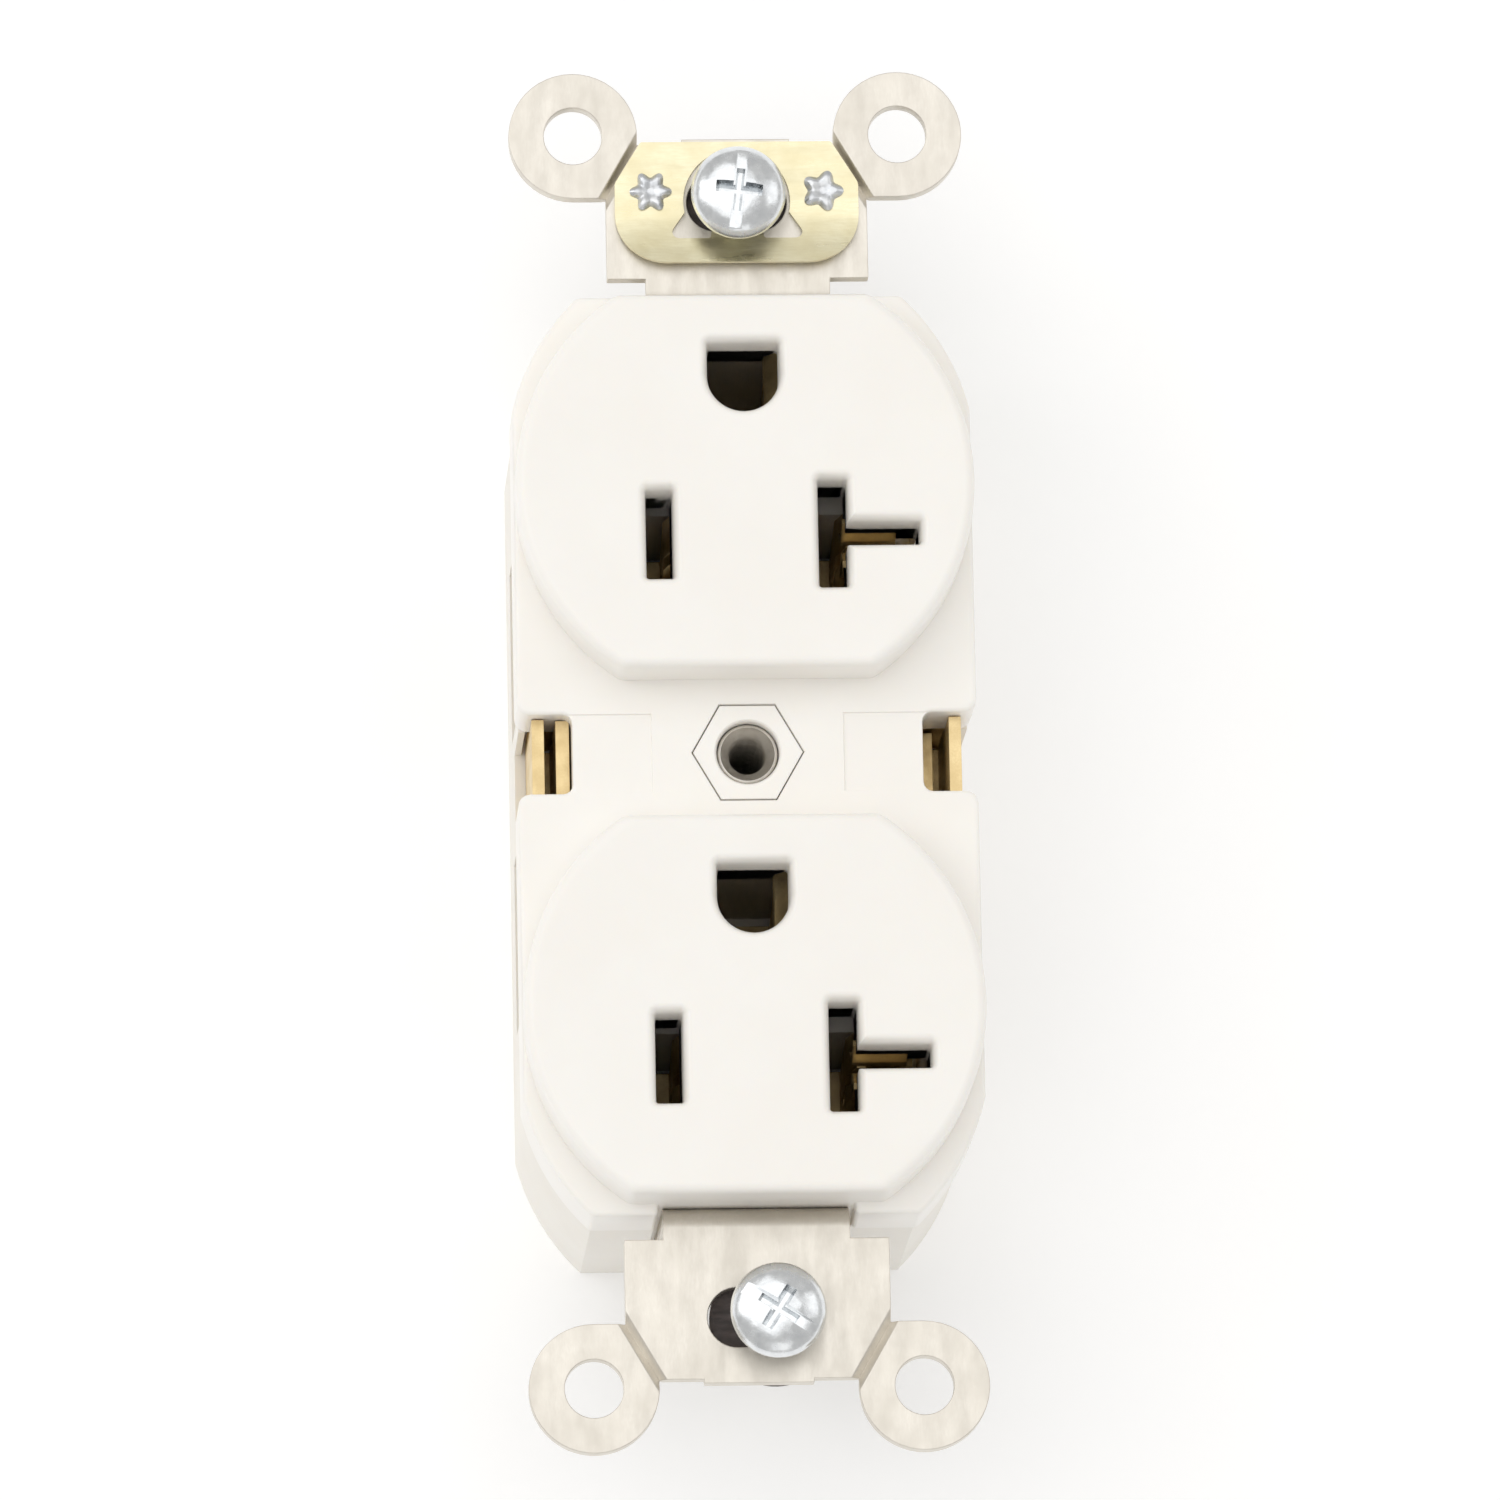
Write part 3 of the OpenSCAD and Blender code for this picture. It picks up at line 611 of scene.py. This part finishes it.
def tee_noses(node):
    """Flared noses of the leaves that grip a blade lying across, just under the T's stem."""
    y = middle_y(node)
    noses = []
    for s in (1, -1):
        path = [(y + s * 1.5, -1.4), (y + s * 0.6, 0.5), (y + s * 0.65, 1.4), (y + s * 1.6, 2.9)]
        noses.append(along_x(strip(path, LEAF_T), *TEE_NOSE_X))
    return noses


def pin_nose(node):
    """The flared nose of a ground contact's right leaf."""
    y = middle_y(node)
    outline = strip([(3.25, -1.2), (1.95, 0.8), (2.0, 1.7), (2.9, 3.1)], LEAF_T)
    sides = (y - PIN_NOSE_HALF, y + PIN_NOSE_HALF)
    return skin([[(x, side, z) for x, z in outline] for side in sides])


# ---------- cover ----------

CUT_LOW = JOINT_Z - 1       # where cuts through the cover start
FACE_WALLS = [
    (SHOULDER_Z - 0.8, 0), (FACE_TOP - 0.9, 0), (FACE_TOP - 0.55, 0.05),
    (FACE_TOP - 0.28, 0.18), (FACE_TOP - 0.1, 0.4), (FACE_TOP, 0.75)]
OPENING_WALLS = [
    (CUT_LOW, 0), (FACE_TOP - 1.25, 0), (FACE_TOP - 0.65, -0.08),
    (FACE_TOP - 0.2, -0.3), (FACE_TOP, -0.62), (FACE_TOP + 0.2, -0.9)]
SHOULDER_WALLS = [
    (JOINT_Z, 0.15), (JOINT_Z + 0.15, 0), (SHOULDER_Z - 0.35, 0),
    (SHOULDER_Z - 0.2, 0.03), (SHOULDER_Z - 0.08, 0.11), (SHOULDER_Z, 0.3)]


def openings(face_y, grown=0):
    """Outlines of the three openings of the face at face_y."""
    outlines = (ground_outline(), hot_outline(), tee_outline())
    if grown:
        outlines = [inset(o, -grown) for o in outlines]
    return [shift(o, 0, face_y) for o in outlines]


def cover_hollow():
    """The room under the cover, less the walls and posts that stand in it."""
    room = slab(inset(plain_shoulder_outline(), COVER_WALL), CUT_LOW, SHOULDER_ROOM)
    under_face = inset(face_outline(), FACE_WALL)
    domes = [slab(shift(under_face, 0, s * FACE_Y), CUT_LOW + 0.2, FACE_TOP - FACE_ROOF)
             for s in (1, -1)]
    room = joined(room, *domes)
    low = CUT_LOW - 1
    kept = [slab(circle((0, 0), SLEEVE_WALL_R), low, FACE_TOP)]
    kept += [slab(circle(c, SCREW_WALL_R), low, FACE_TOP) for c in SCREW_CORNERS]
    side = NOTCH_HALF + NOTCH_WALL
    across = LEG_HALF + LEG_WALL
    for s in (1, -1):
        x0, x1 = sorted((s * (HALF_W - NOTCH_DEEP - NOTCH_WALL), s * (HALF_W + 1)))
        kept.append(slab(box_outline(x0, -side, x1, side), low, FACE_TOP))
        y0, y1 = sorted((s * (LEG_Y - NOTCH_WALL), s * (HALF_L + 1)))
        kept.append(slab(box_outline(-across, y0, across, y1), low, FACE_TOP))
        kept += [slab(o, COLLAR_LOW, FACE_TOP) for o in openings(s * FACE_Y, COLLAR_T)]
    return cut(room, *kept)


def front_cover():
    """The moulded front: shoulder, two faces with their openings, panels and screw holes."""
    shell = solid(shoulder_outline(), SHOULDER_WALLS)
    faces = [solid(shift(face_outline(), 0, s * FACE_Y), FACE_WALLS) for s in (1, -1)]
    shell = joined(shell, *faces)
    tools = [cover_hollow()]
    for s in (1, -1):
        tools += [solid(o, OPENING_WALLS) for o in openings(s * FACE_Y)]
        x0, x1 = sorted(s * x for x in PANEL_X)
        panel = box_outline(x0, -NOTCH_HALF, x1, NOTCH_HALF)
        tools.append(solid(panel, [(SHOULDER_Z - PANEL_DEEP, 0.05), (SHOULDER_Z + 0.5, -0.1)]))
    sleeve_walls = [(CUT_LOW, 0), (SHOULDER_Z - 0.12, 0), (SHOULDER_Z + 0.1, -0.12)]
    tools.append(solid(hexagon(SLEEVE_AF + SLEEVE_GAP), sleeve_walls))
    tools += [slab(circle(c, SCREW_HOLE_R, 24), CUT_LOW, SCREW_HOLE_TOP) for c in SCREW_CORNERS]
    return finished(cut(shell, *tools), "cover_shell", "front_cover")


def post_sleeve():
    """The hexagonal boss round the wall plate's screw."""
    boss = solid(hexagon(SLEEVE_AF), [
        (JOINT_Z, 0), (SHOULDER_Z - 0.12, 0), (SHOULDER_Z - 0.03, 0.04), (SHOULDER_Z, 0.13)])
    hole = solid(circle((0, 0), SLEEVE_BORE_R, FINE), [
        (CUT_LOW, 0), (SHOULDER_Z - 0.3, 0), (SHOULDER_Z - 0.08, -0.08), (SHOULDER_Z + 0.1, -0.3)])
    return finished(cut(boss, hole), "hex_sleeve", "post_sleeve")


def centre_post():
    """The eyelet that holds the strap and takes the wall plate's screw."""
    top = box_mm("centre_post")[1].z
    tube = revolve([
        (POST_R - 0.2, BACK_Z), (POST_R, BACK_Z + 0.2), (POST_R, top - 0.25),
        (POST_R - 0.08, top - 0.08), (POST_R - 0.25, top)], FINE)
    bore = threaded(BORE_R + 0.12, 0.24, BORE_LOW, top - 0.2, 32)
    mouth = revolve([
        (BORE_R - 0.3, top - 1.4), (BORE_R + 0.05, top - 0.75),
        (BORE_R + 0.45, top - 0.25), (BORE_R + 0.62, top + 0.1)], FINE)
    return finished(cut(tube, bore, mouth), "centre_eyelet", "centre_post")


# ---------- clip ----------

def clip_rise(y):
    """How far the clip's spring lip stands off the plate at y."""
    if y >= CLIP_FOLD_Y:
        return 0
    along = (CLIP_FOLD_Y - y) / (CLIP_FOLD_Y - CLIP_LOW)
    return CLIP_LIP * along ** CLIP_LIP_CURVE


def self_ground_clip():
    """Pale brass clip, staked to the upper plate, with a springy lower lip and a tongue."""
    outline = rounded([
        (-CLIP_HALF, CLIP_LOW, CLIP_CORNER), (CLIP_HALF, CLIP_LOW, CLIP_CORNER),
        (CLIP_HALF, CLIP_SHOULDER_Y, 0.8), (CLIP_TOP_HALF, CLIP_TOP, 0.3),
        (-CLIP_TOP_HALF, CLIP_TOP, 0.3), (-CLIP_HALF, CLIP_SHOULDER_Y, 0.8)], 10)
    above = 6
    steps = 40
    rows = [CLIP_LOW - 0.5 + (CLIP_TOP + 1 - CLIP_LOW) * i / steps for i in range(steps + 1)]
    under = [(y, STRAP_T + clip_rise(y)) for y in rows]
    over = [(y, z + CLIP_T) for y, z in reversed(under)]
    sheet = along_x(under + over, -CLIP_HALF - 1, CLIP_HALF + 1)
    clip = common(sheet, slab(outline, 0, above))
    over_slot = [(x, y, 0) for x, y in arc((0, SLOT_Y), CLIP_HOLE_R, -12, 192, 36)]
    opening = rounded(over_slot + [
        (-CLIP_HOLE_HALF, CLIP_HOLE_LOW, 0.5), (-TONGUE_HALF, CLIP_HOLE_LOW, 0.2),
        (-TONGUE_HALF, TONGUE_TOP, 0.5), (TONGUE_HALF, TONGUE_TOP, 0.5),
        (TONGUE_HALF, CLIP_HOLE_LOW, 0.2), (CLIP_HOLE_HALF, CLIP_HOLE_LOW, 0.5)])
    clip = cut(clip, slab(opening, 0, above))
    stakes = [slab(circle((s * STAKE_X, STAKE_Y), STAKE_R, 24), 0, above) for s in (1, -1)]
    clip = edges_softened(cut(clip, *stakes), 0.07)
    return finished(clip, "grounding_clip", "self_ground_clip")


def stake(x, lobes):
    """One stake, its end crimped into a star with a number of lobes."""
    top = box_mm("clip_stakes")[1].z
    seat = STRAP_T + CLIP_T
    heights = [
        (0.01, STAKE_R), (seat - 0.02, STAKE_R), (seat, 1.5), (seat + 0.18, 1.56),
        (top - 0.1, 1.3), (top, 1.05), (top - 0.04, 0.75), (top - 0.22, 0.4)]
    steps = 96
    rings = []
    for z, r in heights:
        ring = []
        for i in range(steps):
            turn = 2 * math.pi * i / steps
            lobe = 0.5 + 0.5 * math.cos(lobes * turn)
            crimped = z > seat - 0.01
            reach = r * (0.72 + 0.28 * lobe) if crimped else r
            dip = 0.2 * (1 - lobe) * (r / 1.5) if z > seat + 0.1 else 0
            ring.append((x + reach * math.cos(turn), STAKE_Y + reach * math.sin(turn), z - dip))
        rings.append(ring)
    return skin(rings)


def clip_stakes():
    """Both stakes. They are part of the strap, but their worked ends are brighter than it."""
    both = joined(stake(-STAKE_X, 6), stake(STAKE_X, 5))
    return finished(both, "star_stakes", "clip_stakes", "case_screw_zinc")


# ---------- screws ----------

def driven(head, top, half_length, slot_half, wing, deep):
    """A head with a through slot and a cross recess in it."""
    long_way = box_outline(-half_length, -slot_half, half_length, slot_half)
    slot = slab(long_way, top - SLOT_DEEP, top + 1)
    cross = []
    for angle in (0, 90):
        bar = solid(box_outline(-wing, -slot_half, wing, slot_half), [
            (top - deep, 0.3), (top - 0.1, 0), (top + 1, -0.1)])
        bar.transform(Matrix.Rotation(math.radians(angle), 4, "Z"))
        cross.append(bar)
    return cut(head, slot, *cross)


def mounting_screw(node, slot_turn):
    """A bright mounting screw: domed head with slot and cross, plain neck, threaded shank."""
    low, high = box_mm(node)
    middle = (low + high) / 2
    seat = high.z - BOX_HEAD_H
    rim = seat + BOX_HEAD_RIM
    dome = [(BOX_HEAD_R - 0.25, seat), (BOX_HEAD_R - 0.04, seat + 0.12), (BOX_HEAD_R, rim)]
    dome += [(BOX_HEAD_R * math.cos(a), rim + (BOX_HEAD_H - BOX_HEAD_RIM) * math.sin(a))
             for a in (math.radians(6 * k) for k in range(1, 15))]
    head = driven(revolve(dome, FINE), high.z, half_length=4, slot_half=0.45, wing=1.75, deep=1.5)
    neck = revolve([(BOX_NECK_R, low.z + 15), (BOX_NECK_R, seat + 0.1)], 32)
    thread = threaded(BOX_THREAD_R, 0.32, low.z, BOX_NECK_LOW)
    screw = joined(joined(head, neck), thread)
    screw.transform(Matrix.Rotation(math.radians(slot_turn), 4, "Z"))
    screw.transform(Matrix.Translation((middle.x, middle.y, 0)))
    return finished(screw, node + "_piece", node)


def terminal_screw(node, side, slot_turn):
    """A terminal screw, head outwards on side 1 (right) or -1 (left)."""
    low, high = box_mm(node)
    middle = (low + high) / 2
    length = high.x - low.x - TERM_HEAD_T
    head = revolve([
        (TERM_HEAD_R - 0.25, 0), (TERM_HEAD_R, 0.2), (TERM_HEAD_R, TERM_HEAD_T - 0.65),
        (TERM_HEAD_R - 0.1, TERM_HEAD_T - 0.4), (TERM_HEAD_R - 0.4, TERM_HEAD_T - 0.18),
        (TERM_HEAD_R - 1.1, TERM_HEAD_T - 0.06), (1.2, TERM_HEAD_T), (0.3, TERM_HEAD_T)], FINE)
    head = driven(head, TERM_HEAD_T, half_length=4.2, slot_half=0.55, wing=1.9, deep=1.3)
    screw = joined(head, threaded(TERM_THREAD_R, 0.3, -length, 0.1))
    screw.transform(Matrix.Rotation(math.radians(slot_turn), 4, "Z"))
    screw.transform(Matrix.Rotation(math.radians(90 * side), 4, "Y"))
    seat = high.x - TERM_HEAD_T if side > 0 else low.x + TERM_HEAD_T
    screw.transform(Matrix.Translation((seat, middle.y, middle.z)))
    return finished(screw, node + "_piece", node)


# ---------- the object ----------

front_cover()
post_sleeve()
centre_post()
self_ground_clip()
clip_stakes()
mounting_screw("mounting_screw_upper", 83)
mounting_screw("mounting_screw_lower", 147)
terminal_screw("hot_screw_upper", -1, 20)
terminal_screw("hot_screw_lower", -1, 74)
terminal_screw("neutral_screw_upper", 1, 105)
terminal_screw("neutral_screw_lower", 1, 38)
terminal_screw("ground_screw", 1, 62)

# How far the edges of each carried-over CAD node are rounded.
SOFTENED = {"mounting_strap": 0.12, "back_body": 0.15, "assembly_screws": 0.08, "ground_rivets": 0.08}
for end in ("upper", "lower"):
    SOFTENED[f"screw_retainer_{end}"] = 0.15
    SOFTENED[f"ground_contact_{end}"] = 0.06
    for side in ("hot", "neutral"):
        SOFTENED[f"{side}_contact_{end}"] = 0.06
        SOFTENED[f"{side}_clamp_{end}"] = 0.1
SOFTENED.update({"ground_clamp": 0.1, "hot_bus": 0.08, "neutral_bus": 0.08, "contact_rivets": 0.08})

for node, width in SOFTENED.items():
    noses = []
    if node.startswith("neutral_contact"):
        noses = tee_noses(node)
    elif node.startswith("ground_contact"):
        noses = [pin_nose(node)]
    refined(node, width, *noses)


# ---------- studio ----------

def floor():
    """A pale floor under the object, 16 metres across."""
    level = cad_box[0].z
    bpy.ops.mesh.primitive_grid_add(
        x_subdivisions=2, y_subdivisions=2, size=16, location=(0, 0, level))
    made = bpy.context.object
    made.name = "studio_floor"
    paint = Paint("floor", Roughness=0.9)
    mottle = paint.graded(paint.noise(60, 2), 0, 1)
    paint.colour(paint.blend(mottle, (0.93, 0.93, 0.93), (0.92, 0.92, 0.92)))
    paint.shader.inputs["Emission Color"].default_value = (1, 1, 1, 1)
    paint.shader.inputs["Emission Strength"].default_value = 0.16
    made.data.materials.append(paint.material)


def softbox(name, at, size, power):
    """A square white area light at a point in metres, turned to the object."""
    lamp = bpy.data.lights.new(name, "AREA")
    lamp.size = size
    lamp.energy = power
    made = bpy.data.objects.new(name, lamp)
    made.location = at
    made.rotation_euler = (-Vector(at)).to_track_quat("-Z", "Y").to_euler()
    bpy.context.scene.collection.objects.link(made)


def world(colour, strength):
    """Even light from all round."""
    made = bpy.data.worlds.new("studio")
    made.use_nodes = True
    back = made.node_tree.nodes["Background"]
    back.inputs["Color"].default_value = (*colour, 1)
    back.inputs["Strength"].default_value = strength
    bpy.context.scene.world = made


def camera():
    """A long lens a metre off, a little below square on."""
    lens = bpy.data.cameras.new("camera")
    lens.sensor_width = 36
    lens.lens = 327.5
    lens.clip_start = 0.05
    lens.clip_end = 50
    made = bpy.data.objects.new("camera", lens)
    roll = Matrix.Rotation(math.radians(0.49), 4, "Z")
    swing = Matrix.Rotation(math.radians(3.08), 4, "Y")
    tilt = Matrix.Rotation(math.radians(-11.84), 4, "X")
    away = Matrix.Translation(Vector((-0.263, -0.631, -1000)) * MM)
    made.matrix_world = (away @ (roll @ swing @ tilt)).inverted()
    bpy.context.scene.collection.objects.link(made)
    bpy.context.scene.camera = made


floor()
world((1, 0.99, 0.975), 0.6)
softbox("overhead", (-0.25, 0.2, 1.1), 1.6, 6.4)
softbox("left", (-0.9, 0.3, 0.6), 0.6, 1.2)
softbox("right", (0.9, 0.2, 0.6), 0.6, 0.8)
softbox("below", (0.1, -1.0, 0.5), 0.6, 0.5)
camera()
bpy.context.scene.view_settings.view_transform = "Standard"
